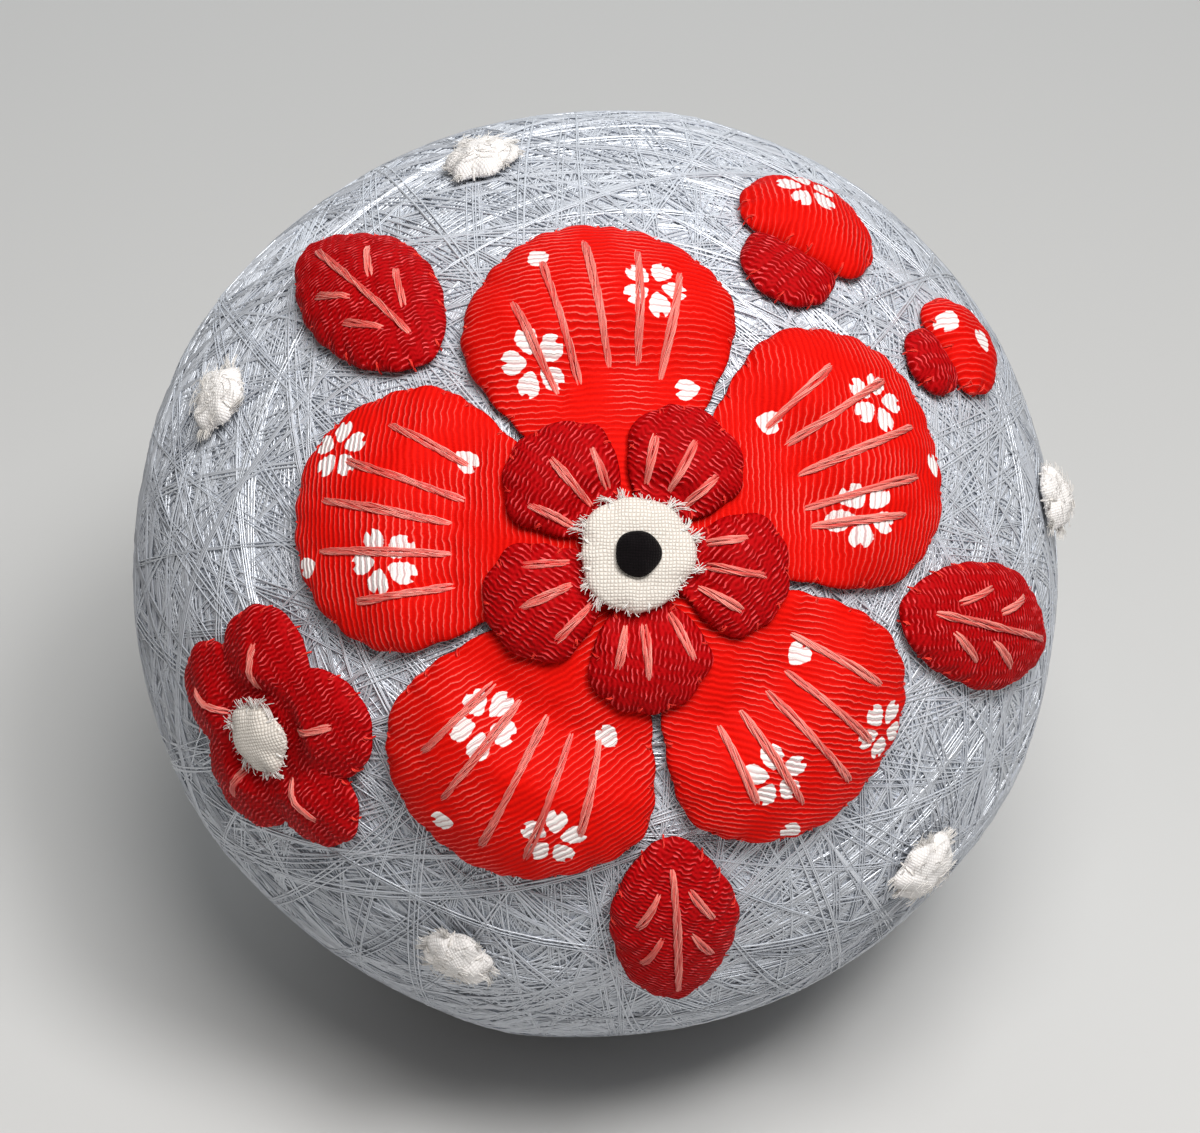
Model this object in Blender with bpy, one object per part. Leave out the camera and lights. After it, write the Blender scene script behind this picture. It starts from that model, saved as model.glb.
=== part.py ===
"""Temari ball: wound with thread, with padded crepe blossoms, leaves, buds and dots sewn to its front.

Metres, +Z up, -Y to the front. The origin is the middle of the small flat spot that the ball rests on.
Each cloth piece is a closed pad that follows the ball and stands a hair clear of what it is sewn to.
"""

import math
from collections import namedtuple

import bmesh
import bpy
from mathutils import Matrix, Vector

MM = 0.001

# The wound ball
BALL_RADIUS = 42.5 * MM
FLAT_RADIUS = 6.0 * MM
BALL_SEGMENTS = 48
BALL_RINGS = 27
FLAT_ANGLE = math.asin(FLAT_RADIUS / BALL_RADIUS)
CENTRE = Vector((0, 0, BALL_RADIUS * math.cos(FLAT_ANGLE)))
CALM_ANGLE = math.radians(26)  # the bands fade out between this and the flat spot

# Bands where many turns of thread lie side by side and stand up from the ball
Band = namedtuple("Band", "lean_deg turn_deg half_width rise")
BANDS = (
    Band(lean_deg=24, turn_deg=10, half_width=6.5 * MM, rise=0.34 * MM),
    Band(lean_deg=71, turn_deg=65, half_width=5.5 * MM, rise=0.30 * MM),
    Band(lean_deg=58, turn_deg=128, half_width=7.0 * MM, rise=0.26 * MM),
    Band(lean_deg=83, turn_deg=171, half_width=5.0 * MM, rise=0.32 * MM),
    Band(lean_deg=47, turn_deg=222, half_width=6.0 * MM, rise=0.28 * MM),
    Band(lean_deg=66, turn_deg=281, half_width=5.5 * MM, rise=0.33 * MM),
    Band(lean_deg=38, turn_deg=330, half_width=7.5 * MM, rise=0.24 * MM),
)
BAND_MEAN = 0.35 * MM  # what the bands add over the whole ball, taken off again

# How the cloth pads are built
SEAT = 0.35 * MM  # a pad's underside over the threads, or over the layer below it
ROUND_FROM = 0.93  # share of the reach where the turned edge starts to round over
WIDE_SEAT = (0.34, 0.66, ROUND_FROM)
SMALL_SEAT = (0.5, ROUND_FROM)
WIDE_TOP = (0.985, ROUND_FROM, 0.81, 0.66, 0.50, 0.34, 0.17)
SMALL_TOP = (0.98, ROUND_FROM, 0.74, 0.48, 0.24)
ROUND_TOP = (0.98, ROUND_FROM, 0.66, 0.33)
FULLNESS = 2.6  # how far out the filling keeps a pad near its full height
FLAT_FULLNESS = 8  # the same for a flat disc
SOFT_CORNER = 9  # how tightly two edges of an outline blend at a corner
TIGHT_CORNER = 12
HAND_CUT = 0.018  # how uneven an outline is, as a share of its size
HAND_CUT_ROUND = 0.03
LEAST_SLANT = 0.02  # keeps a ray that misses a straight cut finite

# The design faces forwards and up
DESIGN_ELEVATION = math.radians(38)

# The large blossom: five printed petals, five plain inner petals, a middle and its knot
BLOSSOM_AT = (3.0 * MM, 1.5 * MM)
HALF_STEP_DEG = 36  # half the turn from one petal to the next
PETAL_MIDDLE = 17.4 * MM
PETAL_START = 2.8 * MM
PETAL_TAIL = 0.35  # how much further a petal runs to the middle of the blossom than a round one
PETAL_SEAM = 0.5 * MM
PETAL_EDGE = 0.75 * MM
PETAL_RIM_MORE = 0.45 * MM  # the outer rim is thicker than the tucked inner end
PETAL_RISE_FROM = 14.4 * MM
PETAL_RISE_OVER = 5.5 * MM
Petal = namedtuple("Petal", "turn_deg lobe crown lean")
PETALS = (
    Petal(turn_deg=98, lobe=12.2 * MM, crown=2.5 * MM, lean=0.4),
    Petal(turn_deg=170, lobe=11.9 * MM, crown=2.3 * MM, lean=2.0),
    Petal(turn_deg=242, lobe=12.4 * MM, crown=2.6 * MM, lean=3.3),
    Petal(turn_deg=314, lobe=12.0 * MM, crown=2.4 * MM, lean=4.7),
    Petal(turn_deg=26, lobe=12.3 * MM, crown=2.5 * MM, lean=5.9),
)
INNER_MIDDLE = 7.5 * MM
INNER_START = 2.2 * MM
INNER_LOBE = 5.2 * MM
INNER_SEAM = 0.5 * MM
INNER_EDGE = 0.70 * MM
INNER_CROWN = 1.5 * MM
INNER_RISE_FROM = 5.2 * MM
INNER_RISE_OVER = 2.0 * MM
MIDDLE_RADIUS = 4.4 * MM
MIDDLE_EDGE = 0.55 * MM
MIDDLE_CROWN = 0.55 * MM
KNOT_RADIUS = 1.7 * MM
KNOT_EDGE = 0.40 * MM
KNOT_CROWN = 0.60 * MM

# Leaves, each laid out in the large blossom's own plane, from the notch between two petals
LEAF_EDGE = 0.95 * MM
LEAF_CROWN = 1.5 * MM
Leaf = namedtuple("Leaf", "turn_deg out length width lean")
LEAVES = (
    Leaf(turn_deg=134, out=34.2 * MM, length=23.0 * MM, width=12.5 * MM, lean=0.7),
    Leaf(turn_deg=278, out=34.0 * MM, length=22.0 * MM, width=12.0 * MM, lean=2.5),
    Leaf(turn_deg=350, out=34.4 * MM, length=23.0 * MM, width=12.0 * MM, lean=4.1),
)

# The small plain blossom in the lower left notch, cut in one piece
SMALL_TURN_DEG = 206
SMALL_OUT = 36.6 * MM
SMALL_SPIN_DEG = 14
SMALL_LOBE_OUT = 6.2 * MM
SMALL_LOBE = 4.9 * MM
SMALL_EDGE = 0.85 * MM
SMALL_CROWN = 1.6 * MM
SMALL_RISE_FROM = 3.7 * MM
SMALL_RISE_OVER = 2.2 * MM
SMALL_MIDDLE_RADIUS = 3.0 * MM
SMALL_DRAWN_IN = 0.65  # share of the filling lost where the lobes meet

# Buds, each with its calyx between it and the blossom
BUD_RADIUS = 6.3 * MM
BUD_CUT = 4.2 * MM
BUD_EDGE = 1.0 * MM
BUD_CROWN = 2.0 * MM
CALYX_RADIUS = 4.3 * MM
CALYX_CUT = 1.8 * MM
CALYX_SEAM = 0.6 * MM
CALYX_EDGE = 0.9 * MM
CALYX_CROWN = 1.2 * MM
Bud = namedtuple("Bud", "across up turn_deg scale")
BUDS = (
    Bud(across=20.6 * MM, up=34.0 * MM, turn_deg=62, scale=1.0),
    Bud(across=36.5 * MM, up=23.0 * MM, turn_deg=31, scale=0.74),
)

# Loose white dots around the spray
DOT_EDGE = 0.8 * MM
DOT_CROWN = 1.1 * MM
Dot = namedtuple("Dot", "across up radius lean")
DOTS = (
    Dot(across=-12.0 * MM, up=43.0 * MM, radius=3.3 * MM, lean=0.3),
    Dot(across=-37.5 * MM, up=17.5 * MM, radius=3.0 * MM, lean=1.9),
    Dot(across=-13.5 * MM, up=-37.0 * MM, radius=3.2 * MM, lean=3.6),
    Dot(across=33.5 * MM, up=-30.0 * MM, radius=3.4 * MM, lean=4.8),
    Dot(across=53.0 * MM, up=9.0 * MM, radius=3.1 * MM, lean=5.5),
)

Frame = namedtuple("Frame", "out right up")
Look = namedtuple("Look", "color roughness")
LOOKS = {
    "wound_thread": Look((0.56, 0.60, 0.67), 0.55),
    "printed_crepe": Look((0.74, 0.02, 0.015), 0.50),
    "plain_crepe": Look((0.36, 0.006, 0.010), 0.45),
    "cream_cloth": Look((0.72, 0.67, 0.60), 0.75),
    "white_cotton": Look((0.80, 0.77, 0.75), 0.85),
    "black_silk": Look((0.008, 0.007, 0.008), 0.60),
}


def smooth_step(value):
    value = min(max(value, 0.0), 1.0)
    return value * value * (3 - 2 * value)


def blended_least(distances, sharpness):
    """The least of some distances, with the corner between two of them rounded."""
    return sum(distance**-sharpness for distance in distances) ** (-1 / sharpness)


def to_line(angle, distance, facing_deg):
    """How far a ray at this angle goes before a straight cut that far away, which faces facing_deg."""
    slant = math.cos(angle - math.radians(facing_deg))
    return distance / max(slant, LEAST_SLANT)


def band_relief(direction):
    """Height that the bands of thread add in this direction from the ball's centre."""
    relief = -BAND_MEAN
    for band in BANDS:
        lean, turn = math.radians(band.lean_deg), math.radians(band.turn_deg)
        axis = Vector((math.sin(lean) * math.cos(turn), math.sin(lean) * math.sin(turn), math.cos(lean)))
        off_band = BALL_RADIUS * math.asin(max(-1.0, min(1.0, axis.dot(direction))))
        relief += band.rise * math.exp(-((off_band / band.half_width) ** 2))
    from_below = math.acos(max(-1.0, min(1.0, -direction.z)))
    return relief * smooth_step((from_below - FLAT_ANGLE) / (CALM_ANGLE - FLAT_ANGLE))


def over_ball(direction, height):
    """The point this high above the wound surface, in this direction from the ball's centre."""
    return CENTRE + direction * (BALL_RADIUS + band_relief(direction) + height)


def toward(frame, x, y):
    """The direction that lies x across and y up from a frame's middle, measured along the ball."""
    away = math.hypot(x, y)
    if away < 1e-9:
        return frame.out.copy()
    angle = away / BALL_RADIUS
    sideways = (frame.right * x + frame.up * y) / away
    return frame.out * math.cos(angle) + sideways * math.sin(angle)


def turned(frame, degrees):
    """The same frame with its axes turned anticlockwise as seen from outside."""
    angle = math.radians(degrees)
    right = frame.right * math.cos(angle) + frame.up * math.sin(angle)
    up = frame.up * math.cos(angle) - frame.right * math.sin(angle)
    return Frame(frame.out, right, up)


def moved(frame, x, y):
    """The frame carried along the ball to the point x across and y up."""
    out = toward(frame, x, y)
    carry = frame.out.rotation_difference(out)
    return Frame(out, carry @ frame.right, carry @ frame.up)


def cloth_material(name):
    material = bpy.data.materials.get(name)
    if material:
        return material
    material = bpy.data.materials.new(name)
    material.use_nodes = True
    shader = material.node_tree.nodes["Principled BSDF"]
    shader.inputs["Base Color"].default_value = (*LOOKS[name].color, 1)
    shader.inputs["Roughness"].default_value = LOOKS[name].roughness
    shader.inputs["Metallic"].default_value = 0
    return material


def closed_mesh(name, rings, last_point, first_point=None):
    """A closed mesh through rings of equal count, with a fan to each end's point or one flat face."""
    mesh = bmesh.new()
    loops = [[mesh.verts.new(point) for point in ring] for ring in rings]
    count = len(rings[0])
    for lower, upper in zip(loops, loops[1:]):
        for i in range(count):
            j = (i + 1) % count
            mesh.faces.new((lower[i], lower[j], upper[j], upper[i]))
    for loop, point in ((loops[0], first_point), (loops[-1], last_point)):
        if point is None:
            mesh.faces.new(loop)
            continue
        tip = mesh.verts.new(point)
        for i in range(count):
            mesh.faces.new((loop[i], loop[(i + 1) % count], tip))
    bmesh.ops.recalc_face_normals(mesh, faces=mesh.faces)
    data = bpy.data.meshes.new(name)
    mesh.to_mesh(data)
    mesh.free()
    data.shade_smooth()
    return data


def add_piece(name, data, material_name, parent, place=None):
    piece = bpy.data.objects.new(name, data)
    piece.data.materials.append(cloth_material(material_name))
    bpy.context.scene.collection.objects.link(piece)
    piece.parent = parent
    if place:
        data.transform(place.inverted())
        piece.location = place.to_translation()
        piece.rotation_euler = place.to_euler()
    return piece


def make_ball(parent):
    """The wound ball, with its bands and the flat spot that it rests on."""
    rings = []
    for i in range(BALL_RINGS):
        from_below = FLAT_ANGLE + (math.pi - FLAT_ANGLE) * i / BALL_RINGS
        ring = []
        for k in range(BALL_SEGMENTS):
            turn = 2 * math.pi * k / BALL_SEGMENTS
            flat = Vector((math.cos(turn), math.sin(turn), 0)) * math.sin(from_below)
            ring.append(over_ball(flat - Vector((0, 0, math.cos(from_below))), 0))
        rings.append(ring)
    data = closed_mesh("wound_ball", rings, last_point=over_ball(Vector((0, 0, 1)), 0))
    add_piece("wound_ball", data, "wound_thread", parent)


def make_pad(name, frame, middle, reach, edge, crown, material_name, parent, **more):
    """A padded piece of cloth round a middle point of a frame's plane.

    reach(angle) is its outline, edge(x, y) the height of its turned edge, and crown(share, x, y) what
    the filling adds at a share of the reach. more may give seat, points, seat_shares and top_shares.
    """
    seat = more.get("seat", SEAT)
    points = more.get("points", 28)
    angles = [2 * math.pi * i / points for i in range(points)]

    def ring(share, height):
        made = []
        for angle in angles:
            x = middle[0] + share * reach(angle) * math.cos(angle)
            y = middle[1] + share * reach(angle) * math.sin(angle)
            made.append(over_ball(toward(frame, x, y), height(share, x, y)))
        return made

    def top(share, x, y):
        past = max(0.0, share - ROUND_FROM) / (1 - ROUND_FROM)
        rounded = 0.5 + 0.5 * math.sqrt(max(0.0, 1 - past * past))
        return seat + edge(x, y) * rounded + crown(share, x, y)

    def underside(share, x, y):
        return seat

    rings = [ring(share, underside) for share in more.get("seat_shares", SMALL_SEAT)]
    rings += [ring(share, top) for share in (1.0, *more.get("top_shares", SMALL_TOP))]
    middle_way = toward(frame, *middle)
    data = closed_mesh(
        name,
        rings,
        last_point=over_ball(middle_way, top(0, *middle)),
        first_point=over_ball(middle_way, seat),
    )
    seated = moved(frame, *middle)
    place = Matrix((seated.right, seated.up, seated.out)).transposed().to_4x4()
    place.translation = over_ball(middle_way, seat)
    return add_piece(name, data, material_name, parent, place)


def filled(crown, fullness=FULLNESS):
    """A filling that is highest in the middle and falls to nothing at the outline."""
    return lambda share, x, y: crown * (1 - share**fullness)


def rising(start, over):
    """0 inside a circle round the frame's middle, 1 outside a wider one."""
    return lambda x, y: smooth_step((math.hypot(x, y) - start) / over)


def uneven(angle, lean, amount=HAND_CUT):
    """A hand-cut outline's slight unevenness, as a factor."""
    return 1 + amount * math.sin(3 * angle + lean) + 0.6 * amount * math.sin(5 * angle + 2 * lean)


def petal_reach(middle, start, lobe, seam, lean, tail=0.0):
    """Outline of one of five petals round a blossom: a round lobe between two straight seams."""
    to_seam = middle * math.sin(math.radians(HALF_STEP_DEG)) - seam / 2
    seam_faces = 90 + HALF_STEP_DEG

    def reach(angle):
        drawn_out = 1 + tail * max(0.0, -math.cos(angle)) ** 2
        edges = (
            lobe * uneven(angle, lean) * drawn_out,
            to_line(angle, to_seam, seam_faces),
            to_line(angle, to_seam, -seam_faces),
            to_line(angle, middle - start, 180),
        )
        return blended_least(edges, SOFT_CORNER)

    return reach


def make_large_blossom(blossom, parent):
    """Five printed petals, five plain ones over their inner ends, the cream middle and its knot."""
    rise = rising(PETAL_RISE_FROM, PETAL_RISE_OVER)
    for number, petal in enumerate(PETALS, 1):
        dome = filled(petal.crown)
        make_pad(
            f"petal_{number}",
            turned(blossom, petal.turn_deg),
            (PETAL_MIDDLE, 0),
            petal_reach(PETAL_MIDDLE, PETAL_START, petal.lobe, PETAL_SEAM, petal.lean, PETAL_TAIL),
            lambda x, y: PETAL_EDGE + PETAL_RIM_MORE * rise(x, y),
            lambda share, x, y: dome(share, x, y) * rise(x, y),
            "printed_crepe",
            parent,
            seat_shares=WIDE_SEAT,
            top_shares=WIDE_TOP,
        )
    inner_seat = SEAT + PETAL_EDGE + SEAT
    inner_rise = rising(INNER_RISE_FROM, INNER_RISE_OVER)
    inner_dome = filled(INNER_CROWN)
    for number, petal in enumerate(PETALS, 1):
        make_pad(
            f"inner_petal_{number}",
            turned(blossom, petal.turn_deg + HALF_STEP_DEG),
            (INNER_MIDDLE, 0),
            petal_reach(INNER_MIDDLE, INNER_START, INNER_LOBE, INNER_SEAM, petal.lean),
            lambda x, y: INNER_EDGE,
            lambda share, x, y: inner_dome(share, x, y) * inner_rise(x, y),
            "plain_crepe",
            parent,
            seat=inner_seat,
            points=20,
        )
    middle_seat = inner_seat + INNER_EDGE + SEAT
    make_round("blossom_middle", blossom, MIDDLE_RADIUS, MIDDLE_EDGE, MIDDLE_CROWN, "cream_cloth", parent,
               seat=middle_seat, fullness=FLAT_FULLNESS)
    knot_seat = middle_seat + MIDDLE_EDGE + MIDDLE_CROWN + SEAT
    make_round("blossom_knot", blossom, KNOT_RADIUS, KNOT_EDGE, KNOT_CROWN, "black_silk", parent,
               seat=knot_seat, points=12)


def make_round(name, frame, radius, edge, crown, material_name, parent, **more):
    """A round pad, such as a middle, a knot or a dot."""
    lean = more.get("lean", 1.0)
    make_pad(
        name,
        frame,
        (0, 0),
        lambda angle: radius * uneven(angle, lean, HAND_CUT_ROUND),
        lambda x, y: edge,
        filled(crown, more.get("fullness", FULLNESS)),
        material_name,
        parent,
        seat=more.get("seat", SEAT),
        points=more.get("points", 18),
        top_shares=ROUND_TOP,
    )


def leaf_reach(length, width, lean):
    """Outline of a leaf: the space that two round arcs share, with its tips rounded."""
    arc = (length**2 + width**2) / (4 * width)
    drop = arc - width / 2

    def reach(angle):
        across = drop * math.sin(angle)
        chord = math.sqrt(across * across + arc * arc - drop * drop)
        return blended_least((chord - across, chord + across), SOFT_CORNER) * uneven(angle, lean)

    return reach


def make_leaves(blossom, parent):
    for number, leaf in enumerate(LEAVES, 1):
        make_pad(
            f"leaf_{number}",
            turned(blossom, leaf.turn_deg),
            (leaf.out, 0),
            leaf_reach(leaf.length, leaf.width, leaf.lean),
            lambda x, y: LEAF_EDGE,
            filled(LEAF_CROWN),
            "plain_crepe",
            parent,
            points=26,
            seat_shares=WIDE_SEAT,
        )


def small_reach(angle):
    """Outline of the small blossom: five round lobes."""
    fifth = math.radians(2 * HALF_STEP_DEG)
    off_lobe = (angle + fifth / 2) % fifth - fifth / 2
    across = SMALL_LOBE_OUT * math.sin(off_lobe)
    return SMALL_LOBE_OUT * math.cos(off_lobe) + math.sqrt(SMALL_LOBE**2 - across**2)


def make_small_blossom(blossom, parent):
    """One plain piece with five lobes, drawn in between them, and its cream middle."""
    way = math.radians(SMALL_TURN_DEG)
    at = moved(blossom, SMALL_OUT * math.cos(way), SMALL_OUT * math.sin(way))
    frame = turned(at, SMALL_SPIN_DEG)
    rise = rising(SMALL_RISE_FROM, SMALL_RISE_OVER)
    dome = filled(SMALL_CROWN)

    def crown(share, x, y):
        lobed = math.cos(2.5 * math.atan2(y, x)) ** 2
        return dome(share, x, y) * rise(x, y) * (1 - SMALL_DRAWN_IN * (1 - lobed))

    make_pad("small_blossom", frame, (0, 0), small_reach, lambda x, y: SMALL_EDGE, crown,
             "plain_crepe", parent, points=40)
    make_round("small_middle", frame, SMALL_MIDDLE_RADIUS, MIDDLE_EDGE, MIDDLE_CROWN, "cream_cloth", parent,
               seat=SEAT + SMALL_EDGE + SEAT, points=14)


def make_buds(design, parent):
    for number, bud in enumerate(BUDS, 1):
        frame = turned(moved(design, bud.across, bud.up), bud.turn_deg)
        radius, cut = BUD_RADIUS * bud.scale, BUD_CUT * bud.scale
        make_pad(
            f"bud_{number}",
            frame,
            (0, 0),
            lambda angle: blended_least((radius, to_line(angle, cut, 180)), TIGHT_CORNER),
            lambda x, y: BUD_EDGE,
            filled(BUD_CROWN * bud.scale),
            "printed_crepe",
            parent,
            points=22,
        )
        base_radius, base_cut = CALYX_RADIUS * bud.scale, CALYX_CUT * bud.scale
        make_pad(
            f"calyx_{number}",
            frame,
            (-(cut + CALYX_SEAM + base_cut), 0),
            lambda angle: blended_least((base_radius, to_line(angle, base_cut, 0)), TIGHT_CORNER),
            lambda x, y: CALYX_EDGE,
            filled(CALYX_CROWN * bud.scale),
            "plain_crepe",
            parent,
            points=18,
        )


def make_dots(design, parent):
    for number, dot in enumerate(DOTS, 1):
        at = moved(design, dot.across, dot.up)
        make_round(f"dot_{number}", at, dot.radius, DOT_EDGE, DOT_CROWN, "white_cotton", parent,
                   points=14, lean=dot.lean)


def main():
    for old in list(bpy.data.objects):
        bpy.data.objects.remove(old)
    temari = bpy.data.objects.new("temari", None)
    bpy.context.scene.collection.objects.link(temari)
    tilt = DESIGN_ELEVATION
    design = Frame(
        Vector((0, -math.cos(tilt), math.sin(tilt))),
        Vector((1, 0, 0)),
        Vector((0, math.sin(tilt), math.cos(tilt))),
    )
    blossom = moved(design, *BLOSSOM_AT)
    make_ball(temari)
    make_large_blossom(blossom, temari)
    make_leaves(blossom, temari)
    make_small_blossom(blossom, temari)
    make_buds(design, temari)
    make_dots(design, temari)


main()
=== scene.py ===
import math

import bmesh
import bpy
import numpy as np
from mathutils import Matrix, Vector, geometry


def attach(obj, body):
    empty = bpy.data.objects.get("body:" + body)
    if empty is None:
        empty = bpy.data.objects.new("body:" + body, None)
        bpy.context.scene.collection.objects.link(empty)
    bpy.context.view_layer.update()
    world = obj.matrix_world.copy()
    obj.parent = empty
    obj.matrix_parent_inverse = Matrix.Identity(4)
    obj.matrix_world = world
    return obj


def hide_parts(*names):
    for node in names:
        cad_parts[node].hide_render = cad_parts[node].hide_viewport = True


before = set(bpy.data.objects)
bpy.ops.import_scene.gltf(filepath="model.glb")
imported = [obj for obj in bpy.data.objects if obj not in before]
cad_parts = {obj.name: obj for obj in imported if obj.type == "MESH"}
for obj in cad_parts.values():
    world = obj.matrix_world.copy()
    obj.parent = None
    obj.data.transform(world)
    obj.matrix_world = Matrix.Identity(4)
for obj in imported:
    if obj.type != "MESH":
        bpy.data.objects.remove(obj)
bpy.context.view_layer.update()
mm = 0.001
fullTurn = 2 * math.pi
print("temari: frame loaded")


# small helpers for node trees

def put(tree, kind, inputs=None, **settings):
    node = tree.nodes.new(kind)
    for label, value in settings.items():
        setattr(node, label, value)
    for label, value in (inputs or {}).items():
        plug(tree, value, node.inputs[label])
    return node


def result(tree, kind, inputs=None, **settings):
    return put(tree, kind, inputs, **settings).outputs[0]


def plug(tree, value, socket):
    if isinstance(value, bpy.types.NodeSocket):
        tree.links.new(value, socket)
    else:
        socket.default_value = value


def sums(tree, operation, *values):
    node = put(tree, "ShaderNodeMath", operation=operation)
    for i, value in enumerate(values):
        plug(tree, value, node.inputs[i])
    return node.outputs[0]


def times(tree, *values):
    return sums(tree, "MULTIPLY", *values)


def timesPlus(tree, *values):
    return sums(tree, "MULTIPLY_ADD", *values)


def vectorSums(tree, operation, *values):
    node = put(tree, "ShaderNodeVectorMath", operation=operation)
    for i, value in enumerate(values):
        plug(tree, value, node.inputs[i])
    return node.outputs[0]


def scaled(tree, vector, factor):
    return result(tree, "ShaderNodeVectorMath", {0: vector, "Scale": factor}, operation="SCALE")


def noise(tree, vector, scale, detail, out=0):
    return put(tree, "ShaderNodeTexNoise", {"Vector": vector, "Scale": scale, "Detail": detail}).outputs[out]


def newTree(name, kind, given, made):
    # a node tree with named inputs and outputs, listed by the kind of their sockets
    tree = bpy.data.node_groups.new(name, kind + "NodeTree")
    for way, sockets in (("OUTPUT", made), ("INPUT", given)):
        for socketKind, labels in sockets.items():
            for label in labels.split(", "):
                tree.interface.new_socket(label, in_out=way, socket_type="NodeSocket" + socketKind)
    return tree, tree.nodes.new("NodeGroupInput").outputs, tree.nodes.new("NodeGroupOutput").inputs


def newObject(name, data):
    piece = bpy.data.objects.new(name, data)
    bpy.context.scene.collection.objects.link(piece)
    return piece


def fromTree(name, tree, values, start=None):
    # runs a Geometry Nodes tree on a mesh and keeps what it makes as a plain mesh
    piece = newObject(name, start or bpy.data.meshes.new(name))
    modifier = piece.modifiers.new("made", "NODES")
    modifier.node_group = tree
    for socket in tree.interface.items_tree:
        if socket.item_type == "SOCKET" and socket.in_out == "INPUT" and socket.name in values:
            modifier[socket.identifier] = values[socket.name]
    made = bpy.data.meshes.new_from_object(piece.evaluated_get(bpy.context.evaluated_depsgraph_get()))
    piece.modifiers.remove(modifier)
    piece.data = made
    made.name = name
    return piece


def readAll(items, field, kind=np.float32, width=1):
    values = np.empty(len(items) * width, kind)
    items.foreach_get(field, values)
    return values


def addMap(mesh, name, places):
    mesh.uv_layers.new(name=name).data.foreach_set("uv", places.astype(np.float32).ravel())


def finishPiece(piece, slot, *nodes):
    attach(piece, "root")
    if nodes:
        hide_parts(*nodes)
    return piece


# the wound ball's form, and places on it

ball = {
    "radius": 42.5 * mm,
    "flatRadius": 6.0 * mm,
    "calmAngle": math.radians(26),  # the bands fade out between this and the flat spot
    "bandMean": 0.35 * mm,
    "bands": [  # where many turns lie side by side: lean, turn, half width and rise in mm
        (24, 10, 6.5, 0.34), (71, 65, 5.5, 0.30), (58, 128, 7.0, 0.26), (83, 171, 5.0, 0.32),
        (47, 222, 6.0, 0.28), (66, 281, 5.5, 0.33), (38, 330, 7.5, 0.24),
    ],
}
flatAngle = math.asin(ball["flatRadius"] / ball["radius"])
ballCentre = np.array([0, 0, ball["radius"] * math.cos(flatAngle)])


def smoothStep(value):
    value = np.clip(value, 0, 1)
    return value * value * (3 - 2 * value)


def bandRelief(ways):
    relief = np.full(len(ways), -ball["bandMean"])
    for lean, turn, halfWidth, rise in ball["bands"]:
        lean, turn = math.radians(lean), math.radians(turn)
        axis = [math.sin(lean) * math.cos(turn), math.sin(lean) * math.sin(turn), math.cos(lean)]
        offBand = ball["radius"] * np.arcsin(np.clip(ways @ axis, -1, 1))
        relief += rise * mm * np.exp(-((offBand / (halfWidth * mm)) ** 2))
    fromBelow = np.arccos(np.clip(-ways[:, 2], -1, 1))
    return relief * smoothStep((fromBelow - flatAngle) / (ball["calmAngle"] - flatAngle))


def overBall(ways, height):
    return ballCentre + ways * (ball["radius"] + bandRelief(ways) + height)[:, None]


def toward(place, x, y):
    # directions that lie x across and y up from a place's middle, measured along the ball
    x, y = np.atleast_1d(x).astype(float), np.atleast_1d(y).astype(float)
    away = np.maximum(np.hypot(x, y), 1e-9)
    angle = away / ball["radius"]
    sideways = (x[:, None] * place["right"] + y[:, None] * place["up"]) / away[:, None]
    return np.cos(angle)[:, None] * place["out"] + np.sin(angle)[:, None] * sideways


def turned(place, degrees):
    angle = math.radians(degrees)
    return {
        "out": place["out"],
        "right": place["right"] * math.cos(angle) + place["up"] * math.sin(angle),
        "up": place["up"] * math.cos(angle) - place["right"] * math.sin(angle),
    }


def moved(place, x, y):
    out = toward(place, x, y)[0]
    carry = Vector(place["out"]).rotation_difference(Vector(out))
    right, up = (np.array(carry @ Vector(place[side])) for side in ("right", "up"))
    return {"out": out, "right": right, "up": up}


designElevation = math.radians(38)
design = {
    "out": np.array([0, -math.cos(designElevation), math.sin(designElevation)]),
    "right": np.array([1.0, 0, 0]),
    "up": np.array([0, math.sin(designElevation), math.cos(designElevation)]),
}


def softNoise(x, y, size, seed):
    # smooth hills between -1 and 1, about one size across
    heights = np.random.default_rng(seed).uniform(-1, 1, (64, 64))
    x, y = x / size + 0.37, y / size + 0.61
    column, row = np.floor(x).astype(int), np.floor(y).astype(int)
    across, up = smoothStep(x - column), smoothStep(y - row)
    column, row = column % 64, row % 64
    right, above = (column + 1) % 64, (row + 1) % 64
    low = heights[row, column] * (1 - across) + heights[row, right] * across
    high = heights[above, column] * (1 - across) + heights[above, right] * across
    return low * (1 - up) + high * up


# finishes

def newMaterial(name, roughness, specular=0.5, **constants):
    material = bpy.data.materials.new(name)
    material.use_nodes = True
    shader = material.node_tree.nodes["Principled BSDF"]
    for label, value in {"Roughness": roughness, "Specular IOR Level": specular, **constants}.items():
        shader.inputs[label].default_value = value
    return material, material.node_tree, shader


def attribute(tree, name):
    return put(tree, "ShaderNodeAttribute", attribute_name=name).outputs["Fac"]


def mixColour(tree, factor, first, second):
    node = put(tree, "ShaderNodeMix", data_type="RGBA")
    for socket, value in zip((node.inputs[0], node.inputs[6], node.inputs[7]), (factor, first, second)):
        plug(tree, value, socket)
    return node.outputs[2]


def ribWaves(pitch, side, spread, swerve, seed):
    # a main wave and weaker ones near it that beat with it: turns per mm along and across, start, strength
    chance = np.random.default_rng(seed)
    waves = [(0.0, 1 / pitch, 0.0, 1.0)]
    for angle in np.radians(swerve) * np.array([-1, -0.6, -0.25, 0.3, 0.65, 1]):
        size = (1 + spread * chance.uniform(-1, 1)) / pitch
        waves.append((math.sin(angle) * size, math.cos(angle) * size, chance.uniform(0, 1), side))
    return waves


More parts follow.
